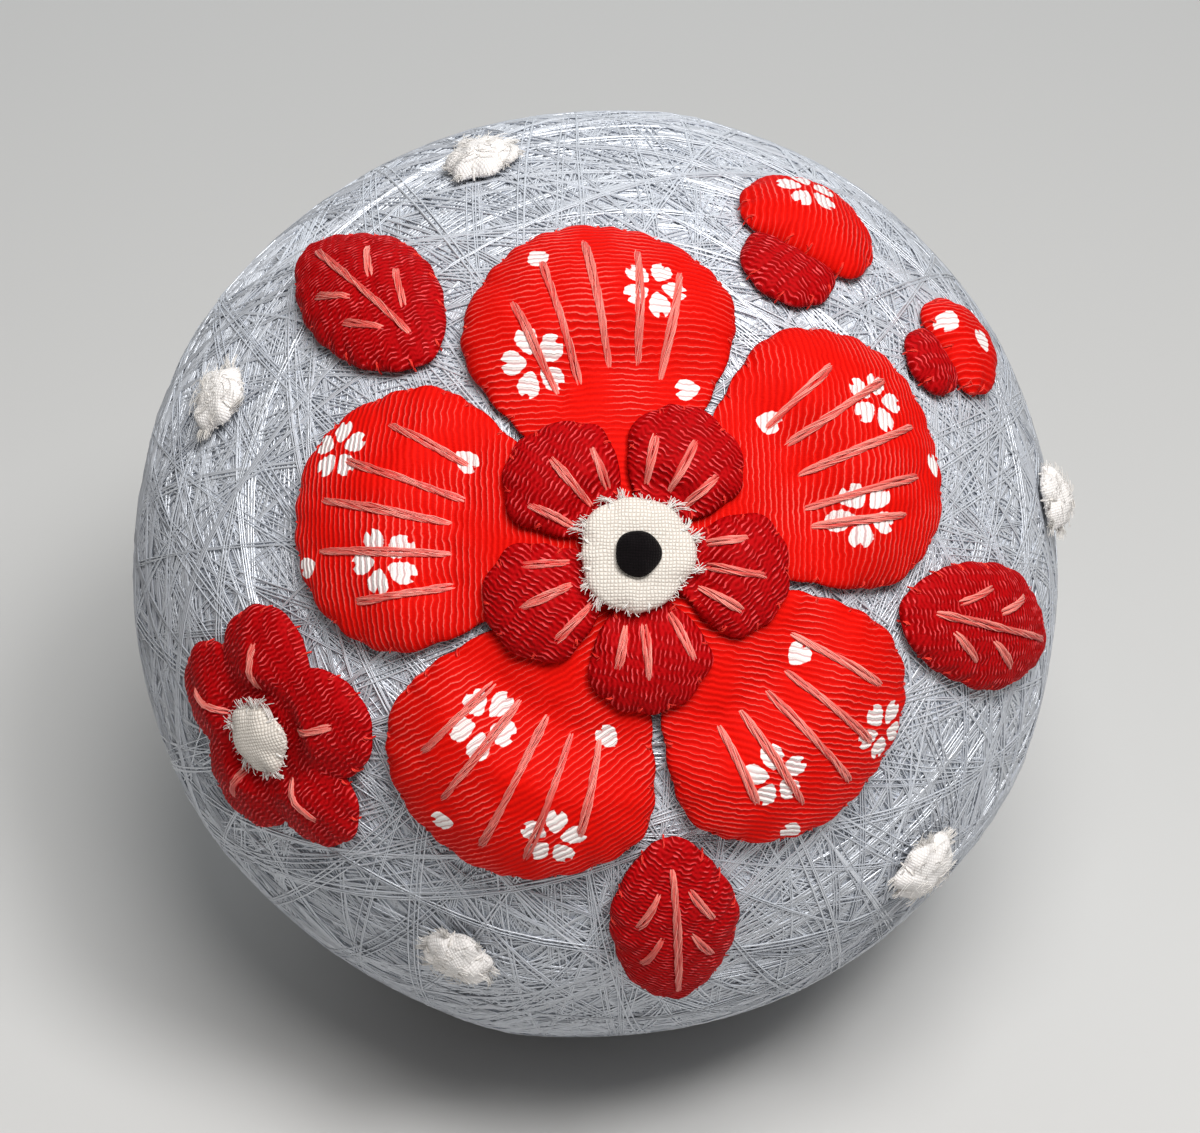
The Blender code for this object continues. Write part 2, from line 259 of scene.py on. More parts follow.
crepes = {  # sizes in mm, colours linear
    "printedCrepe": {
        "pitch": 0.50, "side": 0.08, "spread": 0.05, "swerve": 5, "seed": 4,
        "kinks": ((0.9, 0.075), (2.4, 0.10)), "twitch": 0.16, "rise": 0.05, "across": 0.125, "along": 0.32,
        "crestFrom": 0.74, "crestOver": 0.38, "patchy": 0.25, "bump": 0.08 * mm, "gloss": 0.03,
        # ground is the cloth's own red; valley is painted shade for the rib hollows and crest a painted
        # highlight for the rib tops
        "ground": (0.74, 0.0065, 0.003, 1), "valleyShade": (0.58, 0.003, 0.0015, 1), "crestAndHighlight": (1.0, 0.14, 0.12, 1),
    },
    "plainCrepe": {
        "pitch": 0.40, "side": 0.36, "spread": 0.24, "swerve": 24, "seed": 9,
        "kinks": ((0.5, 0.06), (1.3, 0.10)), "twitch": 0.22, "rise": 0.06, "across": 0.11, "along": 0.22,
        "crestFrom": 0.92, "crestOver": 0.55, "patchy": 0.7, "bump": 0.10 * mm, "gloss": 0.04,
        # valley: painted shade in the rib hollows; crest: painted highlight on the rib tops
        "ground": (0.46, 0.003, 0.005, 1), "valleyShade": (0.27, 0.0003, 0.0006, 1), "crestAndHighlight": (1.0, 0.10, 0.11, 1),
    },
}
for crepe in crepes.values():
    crepe["waves"] = ribWaves(*[crepe[part] for part in ("pitch", "side", "spread", "swerve", "seed")])


crepeNoise = {  # how the noises lie on the cloth, and what they do
    "twitchMap": (1.5, 0.7, 0), "yarnMap": (7.0, 1.6, 0), "patchScale": 0.8, "patchBetween": (0.36, 0.62),
    "yarnLight": (1.1, 0.25), "yarnRise": 0.25, "crestRise": 0.7,
    "ragged": (0.035, 0.12), "edge": (0.04, 0.11),
}
petalPrint = {  # one printed petal, in mm
    "length": 2.15, "fullest": 1.35, "bluntness": 0.55, "halfWidth": 0.88, "start": -1.0, "notchSlope": 1.7,
    "notch": 0.52, "notchShare": 0.53, "fromMiddle": 1.62, "reach": 1.7, "wellAside": 9.0,
    # the white print's second colour is painted shade for its rib hollows
    "white": (0.95, 0.90, 0.88, 1), "whiteValleyShade": (0.62, 0.42, 0.42, 1),
}


def printedPetal(tree, outward, aside):
    # how far inside a notched petal a point lies, in mm
    size = petalPrint
    share = result(tree, "ShaderNodeClamp", {0: timesPlus(tree, outward, 1 / size["length"], 0.5)})
    arch = sums(tree, "SINE", times(tree, sums(tree, "POWER", share, size["fullest"]), math.pi))
    blunt = sums(tree, "POWER", sums(tree, "MAXIMUM", arch, 0.0), size["bluntness"])
    halfWidth = times(tree, blunt, size["halfWidth"])
    before = sums(tree, "MAXIMUM", sums(tree, "SUBTRACT", size["start"], outward), 0.0)
    body = sums(tree, "SUBTRACT", sums(tree, "SUBTRACT", halfWidth, aside), before)
    notch = sums(tree, "SUBTRACT", timesPlus(tree, aside, size["notchSlope"], size["notch"]), outward)
    return sums(tree, "MINIMUM", body, times(tree, notch, size["notchShare"]))


def makeCrepeGroup(name, look):
    # ribs, yarn and print of crepe, from a map of the cloth in mm and the nearest printed petal; the colour
    # has painted shade in the rib hollows and a painted highlight on the crests
    tree, given, made = newTree(name, "Shader", {"Vector": "Map", "Float": "Print out, Print aside"},
                                {"Color": "Color", "Float": "Height, Roughness"})
    soft = crepeNoise
    twitch = noise(tree, vectorSums(tree, "MULTIPLY", given["Map"], soft["twitchMap"]), 1.0, 1.0)
    twitch = times(tree, sums(tree, "SUBTRACT", twitch, 0.5), look["twitch"] * 2)
    bent = vectorSums(tree, "ADD", given["Map"], result(tree, "ShaderNodeCombineXYZ", {1: twitch}))
    wave = 0.0
    for along, across, start, strength in look["waves"]:
        turns = put(tree, "ShaderNodeVectorMath", {0: bent, 1: (along, across, 0)},
                    operation="DOT_PRODUCT").outputs["Value"]
        one = sums(tree, "COSINE", timesPlus(tree, turns, fullTurn, start * fullTurn))
        wave = timesPlus(tree, one, strength, wave)

    def between(value, low, high):
        inputs = {0: value, 1: low, 2: high}
        return result(tree, "ShaderNodeMapRange", inputs, interpolation_type="SMOOTHSTEP")

    yarn = noise(tree, vectorSums(tree, "MULTIPLY", given["Map"], soft["yarnMap"]), 1.0, 1.0)
    # patches where the crests, painted highlight and all, stand out more or less
    patch = between(noise(tree, given["Map"], soft["patchScale"], 1.0), *soft["patchBetween"])
    strong = timesPlus(tree, patch, look["patchy"], 1 - look["patchy"])
    crestAndHighlight = between(wave, look["crestFrom"], look["crestFrom"] + look["crestOver"])
    crestAndHighlight = times(tree, crestAndHighlight, strong)
    # painted highlight: the crests are coloured lighter, flecked by the yarn
    lit = times(tree, crestAndHighlight, timesPlus(tree, yarn, *soft["yarnLight"]))
    # painted shade: the rib hollows take the darker valley colour
    body = between(timesPlus(tree, yarn, 0.7, wave), -0.75, 0.75)
    ribbed = mixColour(tree, lit, mixColour(tree, body, look["valleyShade"], look["ground"]), look["crestAndHighlight"])
    depth = printedPetal(tree, given["Print out"], given["Print aside"])
    ragged = timesPlus(tree, wave, soft["ragged"][0], timesPlus(tree, yarn, soft["ragged"][1], depth))
    inside = between(ragged, *soft["edge"])
    # painted shade: the white print turns grey-pink in the rib hollows
    white = mixColour(tree, between(wave, -1.0, -0.2), petalPrint["whiteValleyShade"], petalPrint["white"])
    tree.links.new(mixColour(tree, inside, ribbed, white), made["Color"])
    rise = times(tree, between(wave, -1.1, 1.2), 0.5)
    rise = timesPlus(tree, yarn, soft["yarnRise"], timesPlus(tree, crestAndHighlight, soft["crestRise"], rise))
    tree.links.new(rise, made["Height"])
    tree.links.new(timesPlus(tree, crestAndHighlight, -0.22, 0.60), made["Roughness"])
    return tree


def makeWeaveGroup():
    # plain weave with slubs: a bump where each warp and weft cross, and painted shade that darkens the colour
    # between the crossings, partly for the cloth's real gaps
    sockets = {"Vector": "Map", "Float": "Pitch", "Color": "Light, Dark"}
    tree, given, made = newTree("plainWeave", "Shader", sockets, {"Color": "Color", "Float": "Height"})
    slub = noise(tree, given["Map"], 0.9, 2.0, "Color")
    bent = vectorSums(tree, "MULTIPLY_ADD", slub, (0.3, 0.3, 0), given["Map"])
    parts = put(tree, "ShaderNodeSeparateXYZ", {0: bent}).outputs
    waves = [sums(tree, "SINE", times(tree, sums(tree, "DIVIDE", part, given["Pitch"]), math.pi))
             for part in (parts[0], parts[1])]
    sides = times(tree, *waves)
    dots = sums(tree, "POWER", sums(tree, "ABSOLUTE", sides), 0.6)
    fuzz = noise(tree, given["Map"], 4.0, 2.0)
    # painted shade: lighter on the crossings and darker between them; the fuzz is random tone
    shade = timesPlus(tree, fuzz, 0.6, times(tree, sides, 0.08))
    shade = timesPlus(tree, dots, 0.6, shade)
    tree.links.new(mixColour(tree, shade, given["Dark"], given["Light"]), made["Color"])
    tree.links.new(timesPlus(tree, fuzz, 0.5, dots), made["Height"])
    return tree


weaveGroup = makeWeaveGroup()


def addBump(tree, shader, height, distance):
    bump = result(tree, "ShaderNodeBump", {"Height": height, "Distance": distance, "Strength": 1.0})
    tree.links.new(bump, shader.inputs["Normal"])


def threadMaterial(name, dark, light, roughness, specular, metallic=0.0):
    # one colour of thread, a little lighter or darker from turn to turn
    material, tree, shader = newMaterial(name, roughness, specular, Metallic=metallic)
    tree.links.new(mixColour(tree, attribute(tree, "tone"), dark, light), shader.inputs["Base Color"])
    return material


def clothMaterial(name, group, inputs, bump, roughness, specular, sheen=0.0):
    # a cloth's group on its own map of the flat cloth
    material, tree, shader = newMaterial(name, roughness, specular, **{"Sheen Weight": sheen})
    flat = result(tree, "ShaderNodeUVMap", uv_map="cloth")
    look = put(tree, "ShaderNodeGroup", node_tree=group)
    for label, value in {"Map": flat, **inputs(tree)}.items():
        plug(tree, value, look.inputs[label])
    tree.links.new(look.outputs["Color"], shader.inputs["Base Color"])
    if "Roughness" in look.outputs:
        tree.links.new(look.outputs["Roughness"], shader.inputs["Roughness"])
    addBump(tree, shader, look.outputs["Height"], bump)
    return material


threads = {  # dark, light, roughness, specular level, metallic
    "woundThread": ((0.57, 0.60, 0.66, 1), (0.755, 0.795, 0.86, 1), 0.30, 0.8, 0.20),
    "coralFloss": ((0.72, 0.060, 0.050, 1), (1.0, 0.35, 0.29, 1), 0.42, 0.5),
    "redStitch": ((0.60, 0.008, 0.006, 1), (0.92, 0.050, 0.028, 1), 0.55, 0.4),
    "paleFibre": ((0.74, 0.71, 0.67, 1), (0.90, 0.88, 0.86, 1), 0.8, 0.25),
}
# dark is painted shade between the weave's crossings, partly the cloth's real gaps
plainCloths = {  # light, dark, pitch, bump, sheen
    "creamCloth": ((0.88, 0.83, 0.77, 1), (0.52, 0.45, 0.38, 1), 0.27, 0.07 * mm, 0.25),
    "whiteCotton": ((0.92, 0.90, 0.89, 1), (0.72, 0.69, 0.67, 1), 0.24, 0.05 * mm, 0.25),
    "blackSilk": ((0.006, 0.004, 0.005, 1), (0.001, 0.001, 0.001, 1), 0.20, 0.05 * mm, 0.05),
}
finishes = {name: threadMaterial(name, *look) for name, look in threads.items()}
for name, look in crepes.items():
    finishes[name] = clothMaterial(
        name, makeCrepeGroup(name, look),
        lambda tree: {"Print out": attribute(tree, "printOut"), "Print aside": attribute(tree, "printAside")},
        look["bump"], 0.5, look["gloss"])
for name, (light, dark, pitch, bump, sheen) in plainCloths.items():
    finishes[name] = clothMaterial(
        name, weaveGroup, lambda tree: {"Pitch": pitch, "Light": light, "Dark": dark},
        bump, 0.85, sheen, sheen)
slots = {
    "printedCrepe": "printed_crepe", "plainCrepe": "plain_crepe", "creamCloth": "cream_cloth",
    "whiteCotton": "white_cotton", "blackSilk": "black_silk",
}
print("temari: finishes made")


# the winding: loops round the ball in groups of near neighbours, laid from the inside out

winding = {
    "threadRadius": 0.094 * mm,
    "top": 0.06 * mm,  # middle of the last turns below the ball's surface
    "slip": 0.006,
    "waver": 0.5 * mm,
    "waverScale": 60.0,
    "spacingShare": (0.55, 1.6),
    "turnTone": 0.6,  # the rest of a turn's tone is its group's
    "layers": [  # turns, steps in each, turns in a group, spacing, off centre, depth, seed
        (310, 48, 8, 0.45 * mm, 1.5 * mm, 0.07 * mm, 3),
        (310, 48, 5, 0.50 * mm, 1.5 * mm, 0.07 * mm, 14),
        (310, 56, 4, 0.50 * mm, 1.8 * mm, 0.07 * mm, 25),
        (310, 64, 3, 0.50 * mm, 2.0 * mm, 0.08 * mm, 36),
        (310, 72, 3, 0.40 * mm, 2.0 * mm, 0.09 * mm, 47),
    ],
}


def stored(tree, geometryIn, name, value, domain):
    inputs = {"Geometry": geometryIn, "Name": name, "Value": value}
    return result(tree, "GeometryNodeStoreNamedAttribute", inputs, data_type="FLOAT", domain=domain)


def readBack(tree, name):
    return result(tree, "GeometryNodeInputNamedAttribute", {"Name": name}, data_type="FLOAT")


def threadFaces(tree, lines, radius, material):
    # three-sided thread along some lines, with its own map: how far along, how far around
    share = put(tree, "GeometryNodeSplineParameter").outputs["Factor"]
    lines = stored(tree, lines, "along", share, "POINT")
    profile = result(tree, "GeometryNodeCurvePrimitiveCircle", {"Resolution": 3, "Radius": radius})
    profile = stored(tree, profile, "around", share, "POINT")
    tube = result(tree, "GeometryNodeCurveToMesh",
                  {"Curve": lines, "Profile Curve": profile, "Fill Caps": True})
    smooth = result(tree, "GeometryNodeSetShadeSmooth", {"Geometry": tube})
    whole = result(tree, "GeometryNodeRealizeInstances", {"Geometry": smooth})
    return result(tree, "GeometryNodeSetMaterial", {"Geometry": whole, "Material": material})


def addBakeMap(mesh, columns=1):
    # lays every thread out as a strip of its own, in one column or more
    corners = readAll(mesh.loops, "vertex_index", np.int32)
    starts = readAll(mesh.polygons, "loop_start", np.int32)
    sizes = np.diff(np.append(starts, len(corners)))
    along, around, turn = (readAll(mesh.attributes[name].data, "value")[corners]
                           for name in ("along", "around", "turn"))
    for values in (along, around):
        wide = np.maximum.reduceat(values, starts) - np.minimum.reduceat(values, starts) > 0.5
        values[np.repeat(wide, sizes) & (values < 0.5)] += 1
    rows = math.ceil((turn.max() + 1) / columns)
    column, row = turn // rows, turn % rows
    strip = np.stack(((column + 0.01 + 0.98 * along) / columns, (row + 0.1 + 0.8 * around) / rows), 1)
    addMap(mesh, "OFBake", strip)


def makeWindingTree():
    tree, given, made = newTree("wound turns", "Geometry", {
        "Int": "Turns, Turns in a group, Segments, Seed", "Material": "Thread",
        "Float": "Outer radius, Depth, Thread radius, Spacing, Off centre, Slip, Waver",
    }, {"Geometry": "Geometry"})
    points = result(tree, "GeometryNodePoints", {"Count": given["Turns"]})
    index = result(tree, "GeometryNodeInputIndex")
    group = sums(tree, "FLOOR", sums(tree, "DIVIDE", index, given["Turns in a group"]))
    place = sums(tree, "SUBTRACT", index, times(tree, group, given["Turns in a group"]))
    centred = sums(tree, "SUBTRACT", place, times(tree, given["Turns in a group"], 0.5))

    def chance(low, high, which, draw):
        seed = sums(tree, "ADD", given["Seed"], draw)
        node = put(tree, "FunctionNodeRandomValue", {"ID": which, "Seed": seed}, data_type="FLOAT")
        node.inputs[2].default_value, node.inputs[3].default_value = low, high
        return node.outputs[1]

    def anyWay(which, draw):
        # a direction chosen evenly over the sphere
        height, turn = chance(-1, 1, which, draw), chance(0, fullTurn, which, draw + 1)
        flat = sums(tree, "SQRT", sums(tree, "SUBTRACT", 1.0, times(tree, height, height)))
        return result(tree, "ShaderNodeCombineXYZ", {
            0: times(tree, flat, sums(tree, "COSINE", turn)),
            1: times(tree, flat, sums(tree, "SINE", turn)),
            2: height,
        })

    axis = anyWay(group, 1)
    side = vectorSums(tree, "NORMALIZE", vectorSums(tree, "CROSS_PRODUCT", axis, anyWay(group, 3)))
    step = times(tree, given["Spacing"], chance(*winding["spacingShare"], group, 5))
    lean = sums(tree, "DIVIDE", times(tree, centred, step), given["Outer radius"])
    leaned = vectorSums(tree, "ADD", axis, scaled(tree, side, lean))
    slipped = vectorSums(tree, "ADD", leaned, scaled(tree, anyWay(index, 6), given["Slip"]))
    rotation = result(tree, "FunctionNodeAlignRotationToVector", {"Vector": slipped}, axis="Z")
    share = sums(tree, "DIVIDE", index, given["Turns"])
    sunk = times(tree, given["Depth"], sums(tree, "SUBTRACT", 1.0, share))
    layer = sums(tree, "SUBTRACT", given["Outer radius"], sunk)
    loop = result(tree, "GeometryNodeCurvePrimitiveCircle", {"Resolution": given["Segments"], "Radius": 1.0})
    loops = result(tree, "GeometryNodeInstanceOnPoints", {
        "Points": points, "Instance": loop, "Rotation": rotation,
        "Scale": result(tree, "ShaderNodeCombineXYZ", {0: layer, 1: layer, 2: layer}),
    })
    shift = times(tree, given["Off centre"], chance(-1, 1, group, 8))
    shifted = result(tree, "GeometryNodeTranslateInstances", {
        "Instances": loops, "Local Space": True,
        "Translation": result(tree, "ShaderNodeCombineXYZ", {2: shift}),
    })
    groupTone = times(tree, chance(0, 1, group, 10), 1 - winding["turnTone"])
    tone = timesPlus(tree, chance(0, 1, index, 9), winding["turnTone"], groupTone)
    for label, value in (("layer", layer), ("tone", tone), ("turn", index)):
        shifted = stored(tree, shifted, label, value, "INSTANCE")
    curves = result(tree, "GeometryNodeRealizeInstances", {"Geometry": shifted})
    position = result(tree, "GeometryNodeInputPosition")
    drift = noise(tree, position, winding["waverScale"], 1.0, "Color")
    drift = scaled(tree, vectorSums(tree, "SUBTRACT", drift, (0.5, 0.5, 0.5)), given["Waver"])
    away = vectorSums(tree, "NORMALIZE", vectorSums(tree, "ADD", position, drift))
    away = scaled(tree, away, readBack(tree, "layer"))
    placed = result(tree, "GeometryNodeSetPosition", {"Geometry": curves, "Position": away})
    tree.links.new(threadFaces(tree, placed, given["Thread radius"], given["Thread"]), made["Geometry"])
    return tree


def ontoBall(mesh):
    # carries loops from a true sphere onto the ball's bands and flat spot
    places = readAll(mesh.vertices, "co", float, 3).reshape(-1, 3)
    ways = places / np.linalg.norm(places, axis=1)[:, None]
    places = ballCentre + places + ways * bandRelief(ways)[:, None]
    places[:, 2] = np.maximum(places[:, 2], 0)
    mesh.vertices.foreach_set("co", places.ravel())
    mesh.update()


def makeWinding():
    tree = makeWindingTree()
    outer = ball["radius"] - winding["top"]
    for number in range(len(winding["layers"]), 0, -1):
        turns, segments, inGroup, spacing, offCentre, depth, seed = winding["layers"][number - 1]
        piece = fromTree(f"winding_{number}", tree, {
            "Turns": turns, "Turns in a group": inGroup, "Segments": segments, "Outer radius": outer,
            "Depth": depth, "Thread radius": winding["threadRadius"], "Spacing": spacing,
            "Off centre": offCentre, "Slip": winding["slip"], "Waver": winding["waver"], "Seed": seed,
            "Thread": finishes["woundThread"],
        })
        ontoBall(piece.data)
        addBakeMap(piece.data)
        finishPiece(piece, "wound_thread", "wound_ball")
        outer -= depth
    return outer


def makeCore(radius):
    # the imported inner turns, seen only as shade between the outer ones
    mesh = bmesh.new()
    mesh.loops.layers.uv.new("OFBake")
    bmesh.ops.create_uvsphere(mesh, u_segments=96, v_segments=64, radius=radius, calc_uvs=True)
    data = bpy.data.meshes.new("inner_winding")
    mesh.to_mesh(data)
    mesh.free()
    data.shade_smooth()
    ontoBall(data)
    material, tree, shader = newMaterial("innerThread", 0.6)
    spot = put(tree, "ShaderNodeTexCoord").outputs["Object"]
    shade = 0.0
    for way, scale in (("X", 900.0), ("Y", 800.0), ("Z", 850.0)):
        inputs = {"Vector": spot, "Scale": scale, "Distortion": 3.0, "Detail": 0.0}
        strands = put(tree, "ShaderNodeTexWave", inputs, bands_direction=way).outputs["Fac"]
        shade = sums(tree, "MAXIMUM", strands, shade)
    colour = mixColour(tree, shade, (0.53, 0.56, 0.615, 1), (0.71, 0.745, 0.805, 1))
    tree.links.new(colour, shader.inputs["Base Color"])
    addBump(tree, shader, shade, 0.1 * mm)
    data.materials.append(material)
    finishPiece(newObject("inner_winding", data), "wound_thread", "wound_ball")


makeCore(makeWinding())
print("temari: ball wound")


# outlines of the cloth pads, as in a maker's paper patterns

def blendedLeast(distances, sharpness=9):
    return sum(np.maximum(distance, 1e-9) ** -sharpness for distance in distances) ** (-1 / sharpness)


def toLine(angle, distance, facing):
    return distance / np.maximum(np.cos(angle - math.radians(facing)), 0.02)


def uneven(angle, lean, amount=0.018):
    return 1 + amount * np.sin(3 * angle + lean) + 0.6 * amount * np.sin(5 * angle + 2 * lean)


def petalReach(middle, start, lobe, seam, lean, tail=0.0):
    toSeam = middle * math.sin(math.radians(36)) - seam / 2
    return lambda angle: blendedLeast((
        lobe * uneven(angle, lean) * (1 + tail * np.maximum(0, -np.cos(angle)) ** 2),
        toLine(angle, toSeam, 126), toLine(angle, toSeam, -126), toLine(angle, middle - start, 180)))


def leafReach(length, width, lean):
    arc = (length**2 + width**2) / (4 * width)
    drop = arc - width / 2

    def reach(angle):
        across = drop * np.sin(angle)
        chord = np.sqrt(across * across + arc * arc - drop * drop)
        return blendedLeast((chord - across, chord + across)) * uneven(angle, lean)

    return reach


def lobedReach(lobeOut, lobe):
    def reach(angle):
        fifth = fullTurn / 5
        offLobe = (angle + fifth / 2) % fifth - fifth / 2
        return lobeOut * np.cos(offLobe) + np.sqrt(lobe**2 - (lobeOut * np.sin(offLobe)) ** 2)

    return reach


def cutReach(radius, cut, facing):
    return lambda angle: blendedLeast((np.full_like(angle, radius), toLine(angle, cut, facing)), 12)


def roundReach(radius, lean):
    return lambda angle: radius * uneven(angle, lean, 0.03)


def rising(start, over):
    return lambda x, y: smoothStep((np.hypot(x, y) - start) / over)


def level(height):
    return lambda x, y: np.full_like(x, height)


def dome(crown, fullness=2.6):
    return lambda share, x, y: crown * (1 - share**fullness)


seat = 0.35 * mm  # a pad's underside over what it is sewn to
weaves = {"across": 0.15, "along": 0.15}  # spacing of the points of the plain cloths, in mm
tacks = {
    "spacing": 3.3 * mm, "dimple": 0.30 * mm, "reach": 0.85 * mm, "in": 0.60 * mm, "out": 0.02 * mm,
    "over": 0.08 * mm, "under": 0.25 * mm, "climbFrom": 0.06 * mm, "climb": 0.2 * mm, "dip": 0.35 * mm,
    "twist": {
        "Step": 0.18 * mm, "Plies": 3, "Ply radius": 0.062 * mm, "Lay radius": 0.07 * mm, "Seed": 8,
        "Twist length": 1.5 * mm, "Taper at start": 0.2 * mm, "Taper at end": 0.2 * mm,
    },
}
floss = {
    "apart": 0.15 * mm, "rise": 0.13 * mm, "sink": 0.42 * mm, "bend": 0.75 * mm, "sway": 0.35,
    "dent": 0.16 * mm, "dentReach": 0.75 * mm,
    "twist": {
        "Step": 0.75 * mm, "Plies": 9, "Ply radius": 0.052 * mm, "Lay radius": 0.165 * mm, "Seed": 5,
        "Twist length": 5.5 * mm, "Taper at start": 2.4 * mm, "Taper at end": 0.9 * mm,
    },
}
usualPad = {
    "seat": seat, "ribTurn": 0, "prints": (), "stitches": (), "round": 0.95 * mm, "pull": 0.20 * mm,
    "lump": (3.2 * mm, 0.13 * mm), "fill": 0.6,
}
padMesh = {
    "rimStep": 0.30 * mm, "rings": (0, 0.07 * mm, 0.18 * mm, 0.34 * mm, 0.55 * mm), "rowsFrom": 0.68 * mm,
    "underEdge": ((0.985, 0.22), (0.955, 0.04)), "under": (0.88, 0.6, 0.3),
    "bakeTop": (0.42, 0.41), "bakeUnder": (0.92, 0.07),  # middle and half size
}
pads = []


def inMm(*values):
    return tuple(value * mm for value in values)


def addPad(name, place, middle, reach, edge, crown, cloth, **more):
    pad = {
        **usualPad, "name": name, "place": place, "middle": middle, "reach": reach, "edge": edge,
        "crown": crown, "cloth": cloth, "seed": 100 + 7 * len(pads), **more,
    }
    pads.append(pad)
    steps = np.linspace(0, fullTurn, 721)
    outline = reach(steps)[:, None] * np.stack((np.cos(steps), np.sin(steps)), 1)
    length = np.concatenate(([0], np.cumsum(np.linalg.norm(np.diff(outline, axis=0), axis=1))))
    count = max(5, round(length[-1] / tacks["spacing"]))
    chance = np.random.default_rng(pad["seed"])
    spots = (np.arange(count) + 0.5 + chance.uniform(-0.22, 0.22, count)) / count * length[-1]
    pad["tacks"] = np.interp(spots, length, steps)
    pad["length"] = length[-1]
    return pad


def pulled(pad, angle):
    # the outline, drawn in a little at each tacking stitch
    reach = pad["reach"](angle)
    off = (angle[:, None] - pad["tacks"] + math.pi) % fullTurn - math.pi
    near = np.exp(-((off * reach[:, None] / tacks["reach"]) ** 2)).max(axis=1)
    return reach - pad["pull"] * near, near


def topHeight(pad, x, y):
    fromMiddle = np.hypot(x - pad["middle"][0], y - pad["middle"][1])
    angle = np.arctan2(y - pad["middle"][1], x - pad["middle"][0])
    reach, near = pulled(pad, angle)
    share = np.clip(fromMiddle / reach, 0, 1)
    inside = (1 - share) * reach
    past = np.clip(1 - inside / pad["round"], 0, 1)
    rim = 0.5 + 0.5 * np.sqrt(1 - past * past)
    height = pad["seat"] + pad["edge"](x, y) * rim + pad["crown"](share, x, y)
    height -= tacks["dimple"] * near * np.exp(-((inside / tacks["reach"]) ** 2)) * (1 - past * 0.6)
    size, amount = pad["lump"]
    height += amount * softNoise(x, y, size, pad["seed"]) * smoothStep(inside / (0.4 * size))
    for line in pad["stitches"]:
        height -= floss["dent"] * np.exp(-((offLine(x, y, *line) / floss["dentReach"]) ** 2))
    return height, inside


def offLine(x, y, x0, y0, x1, y1):
    # distance from a stitch that runs from one point to another
    dx, dy = x1 - x0, y1 - y0
    along = np.clip(((x - x0) * dx + (y - y0) * dy) / (dx * dx + dy * dy), 0, 1)
    return np.hypot(x - x0 - along * dx, y - y0 - along * dy)


def nearestPrint(x, y, spots):
    # where a point lies in the nearest printed petal: outward from its middle and to the side, in mm
    # points far from any print are put well aside, so that nothing shows between two prints
    best = np.full(len(x), 99.0)
    places = np.full((2, len(x)), petalPrint["wellAside"])
    for across, up, turn, whole in spots:
        for k in range(5 if whole else 1):
            outward, aside = spun(x - across, y - up, math.radians(turn + 72 * k))
            outward, aside = outward - (petalPrint["fromMiddle"] if whole else 0), np.abs(aside)
            away = np.hypot(outward, aside)
            nearer = away < best
            best[nearer] = away[nearer]
            places[:, nearer] = np.stack((outward, aside))[:, nearer]
    places[:, best > petalPrint["reach"]] = [[0], [petalPrint["wellAside"]]]
    return places


def clothMap(pad, x, y):
    # where a point lies on the flat cloth, along and across its ribs, in mm
    along, across = spun(x / mm, y / mm, math.radians(pad["ribTurn"]))
    for number, (size, amount) in enumerate(crepes.get(pad["cloth"], {}).get("kinks", ())):
        across = across + amount * softNoise(along, across * 0.8, size, pad["seed"] + number)
    return along + 3.1 * pad["seed"], across + 1.7 * pad["seed"]


def spun(x, y, angle):
    # the same point read on axes turned by an angle
    return x * math.cos(angle) + y * math.sin(angle), y * math.cos(angle) - x * math.sin(angle)


def ribHeight(cloth, along, across):
    # the ribs' height in the cloth, from about -1 to 1
    wave = 0
    for u, v, start, strength in cloth["waves"]:
        wave = wave + strength * np.cos(fullTurn * (u * along + v * across + start))
    return np.clip(wave, -1.1, 1.1)


def padPoints(pad):
    # rows of points along the ribs, with close rings at the turned edge
    cloth, turn = crepes.get(pad["cloth"], weaves), math.radians(pad["ribTurn"])
    count = max(40, int(pad["length"] / padMesh["rimStep"]))
    angles = np.arange(count) * fullTurn / count
    reach = pulled(pad, angles)[0]
    rings = []
    for number, inset in enumerate(padMesh["rings"]):
        bent = angles + (fullTurn / count / 2) * (number % 2)
        reachBent = pulled(pad, bent)[0] - inset
        rings.append(np.stack((reachBent * np.cos(bent), reachBent * np.sin(bent)), 1))
    size = reach.max()
    rows = np.arange(-size, size, cloth["across"] * mm)
    columns = np.arange(-size, size, cloth["along"] * mm)
    along, across = np.meshgrid(columns, rows)
    along = along + (np.arange(len(rows)) % 2)[:, None] * cloth["along"] * mm / 2
    along, across = along.ravel(), across.ravel()
    x, y = spun(along, across, -turn)
    keep = np.hypot(x, y) < pulled(pad, np.arctan2(y, x))[0] - padMesh["rowsFrom"]
    return np.concatenate(rings + [np.stack((x, y), 1)[keep]]) + pad["middle"], count


def triangles(pad, points, count):
    # joined up in the plane, stretched so that the long way of the rows counts less
    cloth, turn = crepes.get(pad["cloth"], weaves), math.radians(pad["ribTurn"])
    flat = (points - pad["middle"]) / mm
    along, across = spun(flat[:, 0], flat[:, 1], turn)
    along = along * cloth["across"] / cloth["along"]
    corners = [Vector(pair) for pair in zip(along.tolist(), across.tolist())]
    made = geometry.delaunay_2d_cdt(corners, [], [list(range(count))], 1, 1e-6)
    old = [origin[0] if origin else -1 for origin in made[3]]
    return [[old[i] for i in face] for face in made[2]]


